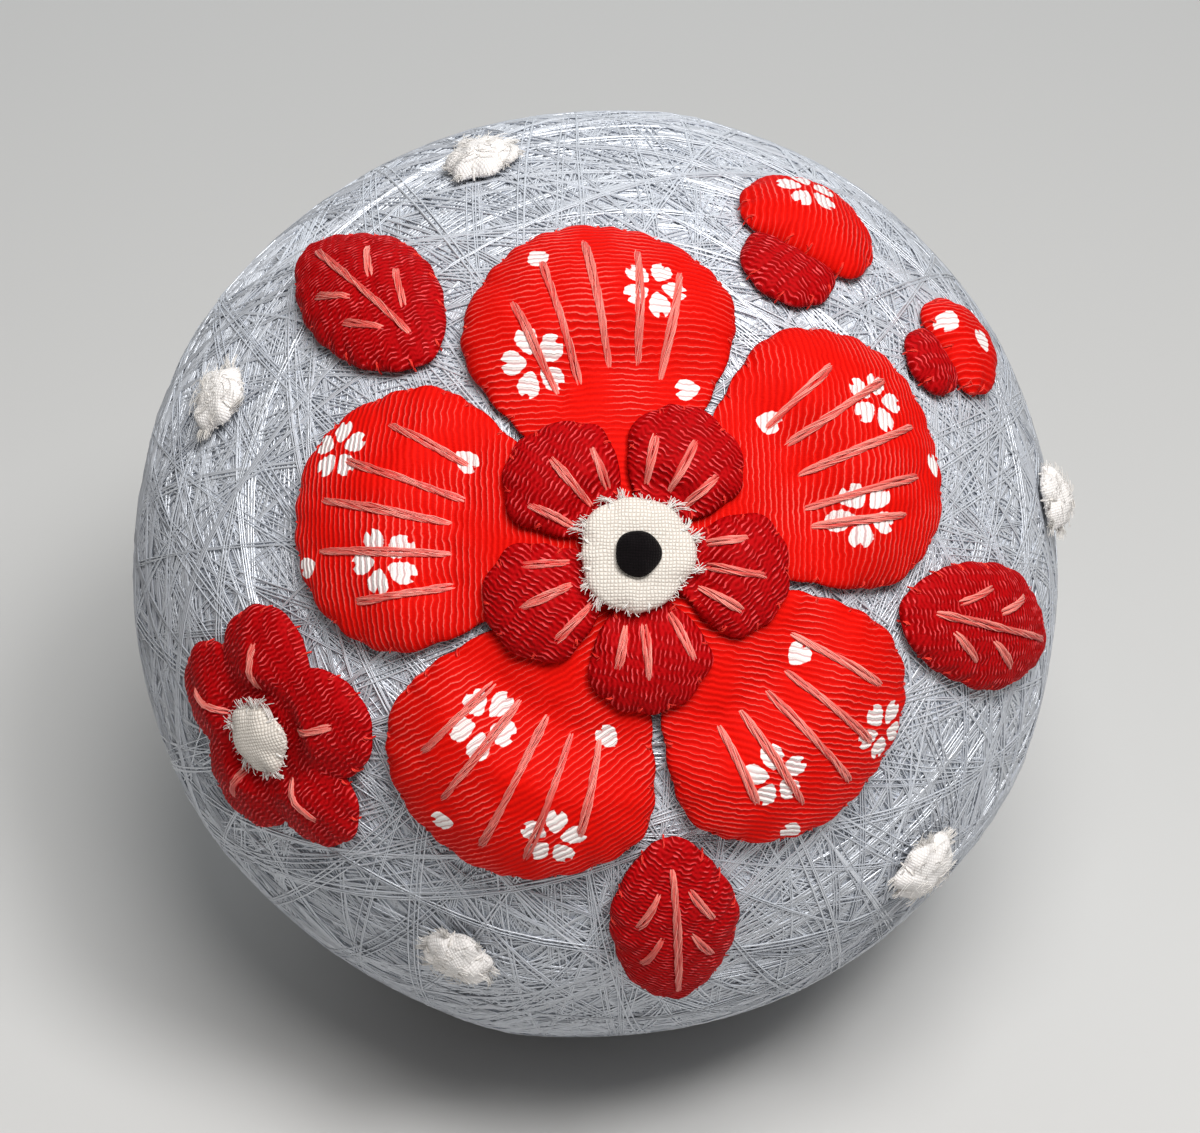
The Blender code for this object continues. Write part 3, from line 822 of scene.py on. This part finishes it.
def makePad(pad):
    points, count = padPoints(pad)
    faces = triangles(pad, points, count)
    x, y = points[:, 0], points[:, 1]
    height, inside = topHeight(pad, x, y)
    if pad["cloth"] in crepes:
        cloth = crepes[pad["cloth"]]
        ribbed = ribHeight(cloth, *clothMap(pad, x, y))
        height = height + cloth["rise"] / 2 * mm * ribbed * smoothStep(inside / (0.25 * mm) + 0.3)
    # under the turned edge, then closed below in wider and wider rings
    angles = np.arange(count) * fullTurn / count
    rim = pulled(pad, angles)[0]
    edge = pad["edge"](x[:count], y[:count])
    wall = [(share, pad["seat"] + part * edge) for share, part in padMesh["underEdge"]]
    wall += [(share, np.full(count, pad["seat"])) for share in padMesh["under"]]
    under = [np.stack((share * rim * np.cos(angles), share * rim * np.sin(angles)), 1) + pad["middle"]
             for share, _ in wall]
    allPoints = np.concatenate([points, *under, [pad["middle"]]])
    heights = np.concatenate([height, *[high for _, high in wall], [pad["seat"]]])
    start = list(range(count))
    for number in range(len(wall)):
        lower = [len(points) + number * count + i for i in range(count)]
        faces += [[start[i], lower[i], lower[(i + 1) % count], start[(i + 1) % count]] for i in range(count)]
        start = lower
    last = len(allPoints) - 1
    faces += [[start[i], last, start[(i + 1) % count]] for i in range(count)]
    ways = toward(pad["place"], allPoints[:, 0], allPoints[:, 1])
    data = bpy.data.meshes.new(pad["name"] + "_cloth")
    data.from_pydata(overBall(ways, heights).tolist(), [], faces)
    data.validate()
    prints = nearestPrint(allPoints[:, 0] / mm, allPoints[:, 1] / mm, pad["prints"])
    for label, values in zip(("printOut", "printAside"), prints):
        data.attributes.new(label, "FLOAT", "POINT").data.foreach_set("value", values.astype(np.float32))
    corners = readAll(data.loops, "vertex_index", np.int32)
    addMap(data, "cloth", np.stack(clothMap(pad, allPoints[:, 0], allPoints[:, 1]), 1)[corners])
    (top, topSize), (low, lowSize) = padMesh["bakeTop"], padMesh["bakeUnder"]
    size = np.abs(allPoints - pad["middle"]).max()
    bake = (top + topSize * (allPoints - pad["middle"]) / size)[corners]
    hidden = corners >= len(points) + 2 * count
    bake[hidden] = low + lowSize * (allPoints[corners[hidden]] - pad["middle"]) / size
    addMap(data, "OFBake", bake)
    data.shade_smooth()
    data.materials.append(finishes[pad["cloth"]])
    piece = finishPiece(newObject(pad["name"] + "_cloth", data), slots[pad["cloth"]], pad["name"])


def rays(spread, lengths, start, seed):
    # stitches that fan out along a petal, sewn by eye, as x0, y0, x1, y1
    chance = np.random.default_rng(seed)
    middle = (len(lengths) - 1) / 2
    lines = []
    for number, length in enumerate(lengths):
        lean = math.radians(spread * (number - middle + chance.uniform(-0.14, 0.14)))
        turnIn = lean + math.radians(chance.uniform(-1.2, 1.2))
        first = start + chance.uniform(-0.06, 0.08) * length
        last = start + length * chance.uniform(0.90, 1.04)
        lines.append(inMm(first * math.cos(turnIn), first * math.sin(turnIn), last * math.cos(lean),
                          last * math.sin(lean)))
    return lines


# the large blossom

blossom = moved(design, 3.0 * mm, 1.5 * mm)
largeBlossom = {
    "middle": 17.4 * mm, "start": 2.8 * mm, "tail": 0.35, "seam": 0.5 * mm, "edge": 0.75 * mm,
    "rimMore": 0.45 * mm, "inner": {
        "middle": 7.5 * mm, "start": 2.2 * mm, "lobe": 5.2 * mm, "seam": 0.5 * mm, "edge": 0.70 * mm,
    },
    "petals": [  # turn, lobe, crown, lean, turn of the ribs, print spots as across, up, turn, whole
        (98, 12.2, 2.5, 0.4, -98,
         ((20.5, -4.6, 40, 1), (16.2, 5.6, 10, 1), (25.2, 4.0, 200, 0), (12.6, -6.2, 90, 0))),
        (170, 11.9, 2.3, 2.0, -80,
         ((19.0, 3.8, 15, 1), (25.0, -4.6, 60, 1), (14.5, -5.2, 150, 0), (26.2, 5.4, 30, 0))),
        (242, 12.4, 2.6, 3.3, -32,
         ((22.4, 4.9, 55, 1), (17.0, -4.2, 20, 1), (26.0, -3.4, 300, 0), (13.8, 5.0, 250, 0))),
        (314, 12.0, 2.4, 4.7, 36,
         ((20.2, -3.9, 5, 1), (24.6, 5.2, 30, 1), (15.0, 4.2, 100, 0), (26.0, -6.0, 200, 0))),
        (26, 12.3, 2.5, 5.9, 64,
         ((17.8, -5.0, 25, 1), (22.9, 2.6, 50, 1), (14.6, 4.9, 320, 0), (26.6, -4.2, 80, 0))),
    ],
}
petalRise = rising(14.4 * mm, 5.5 * mm)
innerSeat = seat + largeBlossom["edge"] + seat
innerRise = rising(5.2 * mm, 2.0 * mm)


def addLargeBlossom():
    size, inner = largeBlossom, largeBlossom["inner"]
    for number, (turn, lobe, crown, lean, ribTurn, prints) in enumerate(size["petals"], 1):
        body = dome(crown * mm)
        addPad(
            f"petal_{number}", turned(blossom, turn), (size["middle"], 0),
            petalReach(size["middle"], size["start"], lobe * mm, size["seam"], lean, size["tail"]),
            lambda x, y: size["edge"] + size["rimMore"] * petalRise(x, y),
            lambda share, x, y, body=body: body(share, x, y) * petalRise(x, y),
            "printedCrepe", ribTurn=ribTurn, prints=prints,
            stitches=rays(9, (9.5, 12.0, 13.2, 12.0, 9.5), 14.0, number),
        )
    for number, (turn, _, _, lean, ribTurn, _) in enumerate(size["petals"], 1):
        body = dome(1.5 * mm)
        addPad(
            f"inner_petal_{number}", turned(blossom, turn + 36), (inner["middle"], 0),
            petalReach(inner["middle"], inner["start"], inner["lobe"], inner["seam"], lean),
            level(inner["edge"]),
            lambda share, x, y, body=body: body(share, x, y) * innerRise(x, y),
            "plainCrepe", ribTurn=ribTurn + 20, seat=innerSeat, round=0.7 * mm,
            stitches=rays(19, (5.0, 6.0, 5.0), 4.6, 10 + number),
        )
    middleSeat = innerSeat + inner["edge"] + seat
    addPad("blossom_middle", blossom, (0, 0), roundReach(4.4 * mm, 1.0), level(0.55 * mm), dome(0.55 * mm, 8),
           "creamCloth", seat=middleSeat, round=0.4 * mm, fill=0.2, pull=0.12 * mm, lump=inMm(1.6, 0.12))
    addPad("blossom_knot", blossom, (0, 0), roundReach(1.7 * mm, 1.0), level(0.40 * mm), dome(0.60 * mm),
           "blackSilk", seat=middleSeat + 1.1 * mm + seat, round=0.5 * mm, fill=0.9, pull=0,
           lump=inMm(0.8, 0.08))


leaves = [  # turn, out, length, width, lean, turn of the ribs
    (134, 34.2, 23.0, 12.5, 0.7, 70),
    (278, 34.0, 22.0, 12.0, 2.5, 62),
    (350, 34.4, 23.0, 12.0, 4.1, 110),
]


def addLeaves():
    for number, (turn, out, length, width, lean, ribTurn) in enumerate(leaves, 1):
        veins = [(out - 8.5, 0, out + 8.0, 0)]
        for side in (-1, 1):
            veins += [(out + start, side * 0.9, out + start + 4.6, side * 3.6) for start in (-6.2, -1.6)]
        reach = leafReach(length * mm, width * mm, lean)
        addPad(f"leaf_{number}", turned(blossom, turn), (out * mm, 0), reach, level(0.95 * mm),
               dome(1.5 * mm), "plainCrepe", ribTurn=ribTurn, stitches=[inMm(*vein) for vein in veins])


smallBlossom = {
    "turn": 206, "out": 36.6 * mm, "spin": 14, "lobeOut": 6.2 * mm, "lobe": 4.9 * mm, "edge": 0.85 * mm,
    "stitches": (3.4, 8.6),
}


def addSmallBlossom():
    size = smallBlossom
    way = math.radians(size["turn"])
    place = turned(moved(blossom, size["out"] * math.cos(way), size["out"] * math.sin(way)), size["spin"])
    body, rise = dome(1.6 * mm), rising(3.7 * mm, 2.2 * mm)

    def crown(share, x, y):
        lobed = np.cos(2.5 * np.arctan2(y, x)) ** 2
        return body(share, x, y) * rise(x, y) * (0.35 + 0.65 * lobed)

    fan = [inMm(*(part * out for out in size["stitches"] for part in (math.cos(angle), math.sin(angle))))
           for angle in np.arange(5) * fullTurn / 5]
    addPad("small_blossom", place, (0, 0), lobedReach(size["lobeOut"], size["lobe"]), level(size["edge"]),
           crown, "plainCrepe", ribTurn=25, stitches=fan, round=0.8 * mm)
    addPad("small_middle", place, (0, 0), roundReach(3.0 * mm, 1.0), level(0.55 * mm), dome(0.55 * mm),
           "creamCloth", seat=seat + size["edge"] + seat, round=0.4 * mm, fill=0.3, pull=0.12 * mm,
           lump=inMm(1.4, 0.12))


buds = [  # across, up, turn, scale, turn of the ribs, print spots
    (20.6, 34.0, 62, 1.0, 20, ((1.2, 1.4, 30, 1),)),
    (36.5, 23.0, 31, 0.74, -30, ((0.4, -0.6, 80, 0), (-1.8, 2.2, 200, 0))),
]


def addBuds():
    for number, (across, up, turn, scale, ribTurn, prints) in enumerate(buds, 1):
        place = turned(moved(design, across * mm, up * mm), turn)
        radius, cut = 6.3 * mm * scale, 4.2 * mm * scale
        addPad(f"bud_{number}", place, (0, 0), cutReach(radius, cut, 180), level(1.0 * mm),
               dome(2.0 * mm * scale), "printedCrepe", ribTurn=ribTurn, prints=prints, round=0.9 * mm)
        baseRadius, baseCut = 4.3 * mm * scale, 1.8 * mm * scale
        base = (-(cut + 0.6 * mm + baseCut), 0)
        addPad(f"calyx_{number}", place, base, cutReach(baseRadius, baseCut, 0), level(0.9 * mm),
               dome(1.2 * mm * scale), "plainCrepe", ribTurn=80, round=0.7 * mm)


dots = [  # across, up, radius, lean
    (-12.0, 43.0, 3.3, 0.3), (-37.5, 17.5, 3.0, 1.9), (-13.5, -37.0, 3.2, 3.6), (33.5, -30.0, 3.4, 4.8),
    (53.0, 9.0, 3.1, 5.5),
]


def addDots():
    for number, (across, up, radius, lean) in enumerate(dots, 1):
        addPad(f"dot_{number}", moved(design, across * mm, up * mm), (0, 0), roundReach(radius * mm, lean),
               level(0.8 * mm), dome(1.1 * mm), "whiteCotton", ribTurn=40 * number, round=0.7 * mm,
               lump=inMm(1.1, 0.26), pull=0.42 * mm)


addLargeBlossom()
addLeaves()
addSmallBlossom()
addBuds()
addDots()
for pad in pads:
    makePad(pad)
print("temari:", len(pads), "pads sewn")


# floss and sewing stitches, each a line of points that a tree twists into plies

def makeFlossTree():
    tree, given, made = newTree("twisted floss", "Geometry", {
        "Geometry": "Lines", "Int": "Plies, Seed", "Material": "Thread",
        "Float": "Step, Ply radius, Lay radius, Twist length, Taper at start, Taper at end",
    }, {"Geometry": "Geometry"})
    curves = result(tree, "GeometryNodeMeshToCurve", {"Mesh": given["Lines"]})
    even = result(tree, "GeometryNodeResampleCurve", {"Curve": curves, "Length": given["Step"]},
                  mode="LENGTH")
    copies = put(tree, "GeometryNodeDuplicateElements", {"Geometry": even, "Amount": given["Plies"]},
                 domain="SPLINE")
    length = put(tree, "GeometryNodeSplineParameter").outputs["Length"]
    part = sums(tree, "DIVIDE", copies.outputs["Duplicate Index"], given["Plies"])
    turns = sums(tree, "ADD", sums(tree, "DIVIDE", length, given["Twist length"]), part)
    angle = times(tree, turns, fullTurn)
    normal = result(tree, "GeometryNodeInputNormal")
    tangent = result(tree, "GeometryNodeInputTangent")
    other = vectorSums(tree, "CROSS_PRODUCT", tangent, normal)
    offset = vectorSums(tree, "ADD", scaled(tree, normal, sums(tree, "COSINE", angle)),
                        scaled(tree, other, sums(tree, "SINE", angle)))
    chance = put(tree, "FunctionNodeRandomValue", {"Seed": given["Seed"]}, data_type="FLOAT")
    toned = stored(tree, copies.outputs[0], "tone", chance.outputs[1], "CURVE")

    def drawnIn(distance, over):
        inputs = {0: distance, 2: over, 3: 0.25}
        return result(tree, "ShaderNodeMapRange", inputs, interpolation_type="SMOOTHSTEP")

    toEnd = sums(tree, "SUBTRACT", put(tree, "GeometryNodeSplineLength").outputs["Length"], length)
    taper = drawnIn(length, given["Taper at start"])
    taper = sums(tree, "MINIMUM", taper, drawnIn(toEnd, given["Taper at end"]))
    thick = timesPlus(tree, readBack(tree, "tone"), 0.5, 0.6)
    offset = scaled(tree, offset, times(tree, times(tree, given["Lay radius"], thick), taper))
    laid = result(tree, "GeometryNodeSetPosition", {"Geometry": toned, "Offset": offset})
    laid = stored(tree, laid, "turn", result(tree, "GeometryNodeInputIndex"), "CURVE")
    tree.links.new(threadFaces(tree, laid, given["Ply radius"], given["Thread"]), made["Geometry"])
    return tree


def linesMesh(name, lines):
    # open lines of points as one mesh of edges
    points, edges = [], []
    for line in lines:
        first = len(points)
        points += [tuple(point) for point in line]
        edges += [(i, i + 1) for i in range(first, len(points) - 1)]
    data = bpy.data.meshes.new(name)
    data.from_pydata(points, edges, [])
    return data


def sewLines(name, tree, lines, twist, finish, slot, columns):
    # threads along some lines, as one piece
    piece = fromTree(name, tree, {**twist, "Thread": finishes[finish]}, linesMesh(name, lines))
    addBakeMap(piece.data, columns)
    finishPiece(piece, slot)


def overPad(pad, x, y, lift):
    # points on a pad's top, raised by lift
    height = topHeight(pad, x, y)[0]
    return overBall(toward(pad["place"], x, y), height + lift)


def stitchLine(pad, x0, y0, x1, y1, side):
    # one strand laid over the pad, its ends drawn down into the cloth
    aside, rise, sink = side * floss["apart"], floss["rise"], floss["sink"]
    share = np.linspace(0, 1, 14)
    length = math.hypot(x1 - x0, y1 - y0)
    offX, offY = -(y1 - y0) / length * aside, (x1 - x0) / length * aside
    pinch = np.minimum(1, np.sin(share * math.pi) * 3 + 0.1)
    sway = 1 + floss["sway"] * np.sin(share * 7.0 + 900 * (x0 + y1) / mm + (aside > 0))
    x = x0 + (x1 - x0) * share + offX * pinch * sway
    y = y0 + (y1 - y0) * share + offY * pinch * sway
    fromEnd = np.minimum(share, 1 - share) * length
    lift = rise - (rise + sink) * np.exp(-((fromEnd / floss["bend"]) ** 2))
    return overPad(pad, x, y, lift)


def makeFloss(tree):
    lines = [stitchLine(pad, *stitch, side) for pad in pads for stitch in pad["stitches"] for side in (-1, 1)]
    sewLines("coral_floss", tree, lines, floss["twist"], "coralFloss", "printed_crepe", 4)
    return len(lines)


def overEdge(pad, angle, outFrom, outTo, points):
    # a line over a pad's edge at an angle: from outside, up and inwards
    reach = pulled(pad, np.array([angle]))[0][0]
    share = np.linspace(0, 1, points)
    out = reach + outFrom + (outTo - outFrom) * share
    bent = angle + 0.30 * mm / reach * (share - 0.5)
    return out, pad["middle"][0] + out * np.cos(bent), pad["middle"][1] + out * np.sin(bent), reach, share


def makeTacks(tree):
    # small stitches over each pad's edge, into the winding or the layer below
    for name, cloths, finish, slot in (
        ("red_tacks", ("printedCrepe", "plainCrepe"), "redStitch", "printed_crepe"),
        ("pale_tacks", ("creamCloth", "whiteCotton"), "paleFibre", "white_cotton"),
    ):
        lines = []
        for pad in pads:
            if pad["cloth"] not in cloths:
                continue
            for spot in pad["tacks"]:
                out, x, y, reach, share = overEdge(pad, spot, tacks["out"], -tacks["in"], 9)
                onTop = topHeight(pad, x, y)[0] + tacks["over"]
                low = pad["seat"] - tacks["under"]
                climb = smoothStep((reach + tacks["climbFrom"] - out) / tacks["climb"])
                height = low + (onTop - low) * climb - tacks["dip"] * smoothStep((share - 0.8) / 0.2)
                lines.append(overBall(toward(pad["place"], x, y), height))
        sewLines(name, tree, lines, tacks["twist"], finish, slot, 8)


flossTree = makeFlossTree()
strands = makeFloss(flossTree)
makeTacks(flossTree)
print("temari: stitched,", strands, "strands of floss")


# frayed ends of the cream and white cloth

fray = {
    "seed": 77, "fuzzPerMm": 6.5, "fuzz": 0.38 * mm, "tuftEvery": 2.3 * mm, "fibres": 14,
    "longest": 1.35 * mm, "onTop": 80,
    # ranges of length in mm, lift and inset in mm
    "red": ((0.2, 0.4), (0.0, 0.5), (0.25, 0.7)), "top": ((0.4, 0.9), (0.05, 0.35), (0.35, 2.7)),
    "twist": {
        "Step": 0.25 * mm, "Plies": 1, "Ply radius": 0.032 * mm, "Lay radius": 0.0, "Seed": 9,
        "Twist length": 1 * mm, "Taper at start": 0.1 * mm, "Taper at end": 0.1 * mm,
    },
}


def makeFray(tree):
    # soft fuzz and a few tufts of loose ends round the pale cloth, and loose ends at the red stitches
    chance = np.random.default_rng(fray["seed"])
    pale, red = [], []

    def loose(pad, angle, length, lift, aside, inset):
        reach = pulled(pad, np.array([angle]))[0][0]
        share = np.linspace(0, 1, 5)
        out = reach - inset + length * share
        bend = angle + aside * share**1.5 * length / reach
        x = pad["middle"][0] + out * np.cos(bend)
        y = pad["middle"][1] + out * np.sin(bend)
        if inset > 0.3 * mm:
            start = topHeight(pad, x[:1], y[:1])[0]
        else:
            start = pad["seat"] + chance.uniform(0.1, 0.6) * mm
        height = start + length * lift * share * (1.4 - share)
        return overBall(toward(pad["place"], x, y), np.maximum(height, pad["seat"] - tacks["under"]))

    def strewn(pad, angle, sway, length, lift, inset):
        return loose(pad, angle, chance.uniform(*length) * mm, chance.uniform(*lift), chance.normal(0, sway),
                     chance.uniform(*inset) * mm)

    for pad in pads:
        if pad["cloth"] in crepes:
            for spot in pad["tacks"]:
                angle = spot + chance.normal(0, 0.22) * mm / pad["reach"](np.array([spot]))[0]
                red.append(strewn(pad, angle, 0.8, *fray["red"]))
        elif pad["cloth"] != "blackSilk":
            for _ in range(int(pad["length"] / mm * fray["fuzzPerMm"])):
                pale.append(loose(pad, chance.uniform(0, fullTurn), fray["fuzz"] * chance.uniform(0.4, 1.3),
                                  chance.normal(0.3, 0.4), chance.normal(0, 0.7), 0.12 * mm))
            for _ in range(fray["onTop"] if pad["cloth"] == "whiteCotton" else 0):
                pale.append(strewn(pad, chance.uniform(0, fullTurn), 1.5, *fray["top"]))
            for _ in range(round(pad["length"] / fray["tuftEvery"])):
                middle, length = chance.uniform(0, fullTurn), fray["longest"] * chance.uniform(0.45, 1)
                lift, aside = chance.uniform(-0.1, 0.7), chance.normal(0, 0.5)
                for _ in range(fray["fibres"]):
                    angle = middle + chance.normal(0, 0.16) * mm / pad["reach"](np.array([middle]))[0]
                    more = length * chance.uniform(0.6, 1.05), lift + chance.normal(0, 0.15)
                    pale.append(loose(pad, angle, *more, aside + chance.normal(0, 0.25), 0.15 * mm))
    sewLines("pale_loose_ends", tree, pale, fray["twist"], "paleFibre", "white_cotton", 12)
    sewLines("red_loose_ends", tree, red, fray["twist"], "redStitch", "printed_crepe", 12)


makeFray(flossTree)
print("temari: edges frayed")


# floor, light and camera

studio = {
    "floor": 2.5, "floorDark": (0.595, 0.595, 0.59, 1), "floorLight": (0.625, 0.625, 0.62, 1),
    "lamps": [  # name, place, size, power, colour
        ("key", (0.153, -0.203, 0.449), 0.12, 0.85, (1.0, 0.99, 0.975)),
        ("room", (0.055, -0.187, 0.481), 0.24, 1.82, (1.0, 0.985, 0.965)),
        ("window", (0.0, 0.435, 0.245), 0.60, 0.75, (0.86, 0.94, 1.0)),
    ],
    "worldColour": (1.0, 0.955, 0.905, 1), "worldStrength": 0.17,
}


def makeFloor():
    mesh = bmesh.new()
    bmesh.ops.create_grid(mesh, x_segments=1, y_segments=1, size=studio["floor"])
    data = bpy.data.meshes.new("floor")
    mesh.to_mesh(data)
    mesh.free()
    material, tree, shader = newMaterial("paleFloor", 0.7, 0.2)
    cloud = noise(tree, put(tree, "ShaderNodeTexCoord").outputs["Object"], 4.0, 3.0)
    colour = mixColour(tree, cloud, studio["floorDark"], studio["floorLight"])
    tree.links.new(colour, shader.inputs["Base Color"])
    data.materials.append(material)
    newObject("floor", data)


def addLamp(name, place, size, power, colour):
    light = bpy.data.lights.new(name, "AREA")
    light.shape = "DISK"
    light.size, light.energy, light.color = size, power, colour
    lamp = newObject(name, light)
    lamp.location = place
    lamp.visible_camera = False
    lamp.rotation_euler = (Vector(ballCentre) - Vector(place)).to_track_quat("-Z", "Y").to_euler()


view = {"distance": 0.330, "lens": 107.4, "sensor": 36.0, "shift": (0.0025, 0.0063)}


def addCamera():
    camera = newObject("camera", bpy.data.cameras.new("camera"))
    back = Vector(design["out"])
    camera.location = Vector(ballCentre) + back * view["distance"]
    camera.rotation_euler = (-back).to_track_quat("-Z", "Y").to_euler()
    camera.data.lens, camera.data.sensor_width = view["lens"], view["sensor"]
    camera.data.shift_x, camera.data.shift_y = view["shift"]
    camera.data.clip_start = 0.01
    bpy.context.scene.camera = camera


makeFloor()
for lamp in studio["lamps"]:
    addLamp(*lamp)
world = bpy.data.worlds.new("studio")
world.use_nodes = True
background = world.node_tree.nodes["Background"].inputs
background[0].default_value, background[1].default_value = studio["worldColour"], studio["worldStrength"]
bpy.context.scene.world = world
bpy.context.scene.view_settings.view_transform = "Standard"
addCamera()
print("temari: staged")
